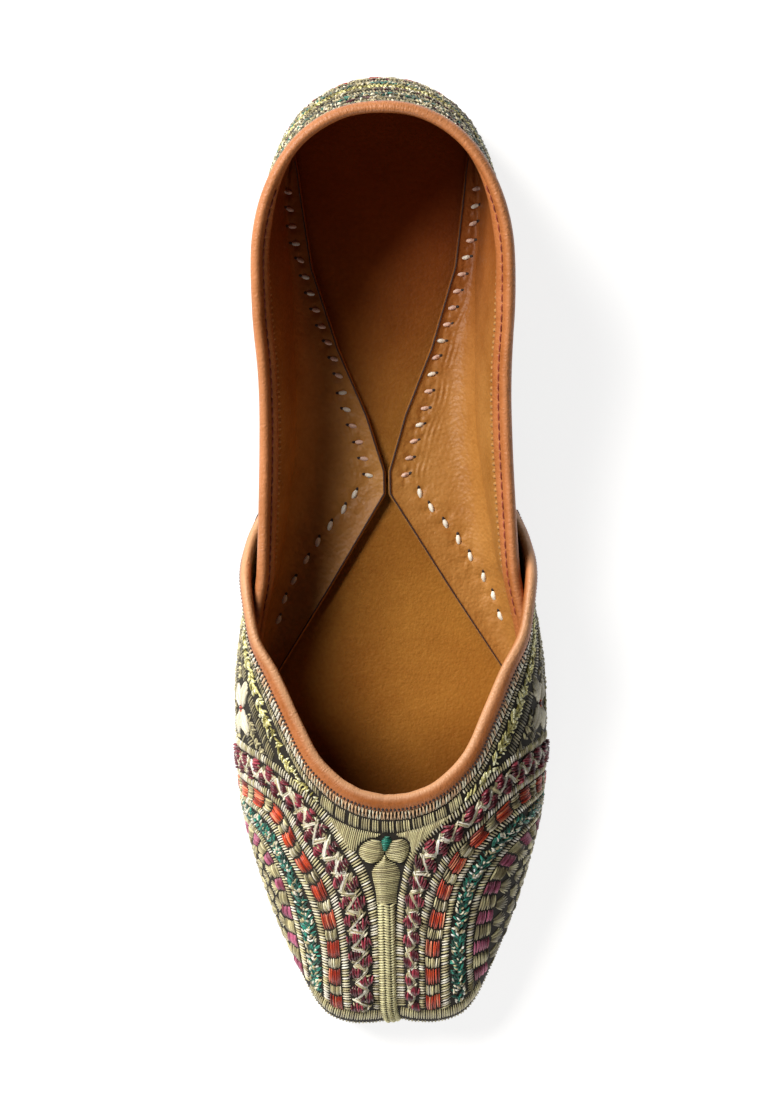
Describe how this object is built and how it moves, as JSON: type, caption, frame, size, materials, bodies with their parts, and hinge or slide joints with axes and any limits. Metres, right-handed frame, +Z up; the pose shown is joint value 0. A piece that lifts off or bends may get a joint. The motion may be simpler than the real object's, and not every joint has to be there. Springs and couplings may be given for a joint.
{
  "type": "jutti",
  "caption": "Flat embroidered slip-on jutti with a square toe, leather-bound low-cut vamp and quarters, turned-in lining and leather sole.",
  "frame": {"origin": "on the floor, under the middle of the shoe's box", "axes": "+Y towards the heel, +Z up from the floor, +X across the shoe"},
  "size_m": [0.0834, 0.2553, 0.0547],
  "materials": {
    "sole_leather": "dark trimmed edge, matte",
    "insole_leather": "smooth brown, low sheen",
    "lining_leather": "smooth tan, low sheen",
    "embroidered_cloth": "dense thread embroidery",
    "binding_leather": "smooth orange tan, satin",
    "gold_braid": "pale gold braid"
  },
  "bodies": {
    "root": {"outsole": "sole_leather", "insole": "insole_leather", "lining_flap_left": "lining_leather", "lining_flap_right": "lining_leather", "upper": "embroidered_cloth", "vamp_binding": "binding_leather", "quarter_binding": "binding_leather", "toe_spine": "gold_braid"}
  },
  "joints": []
}
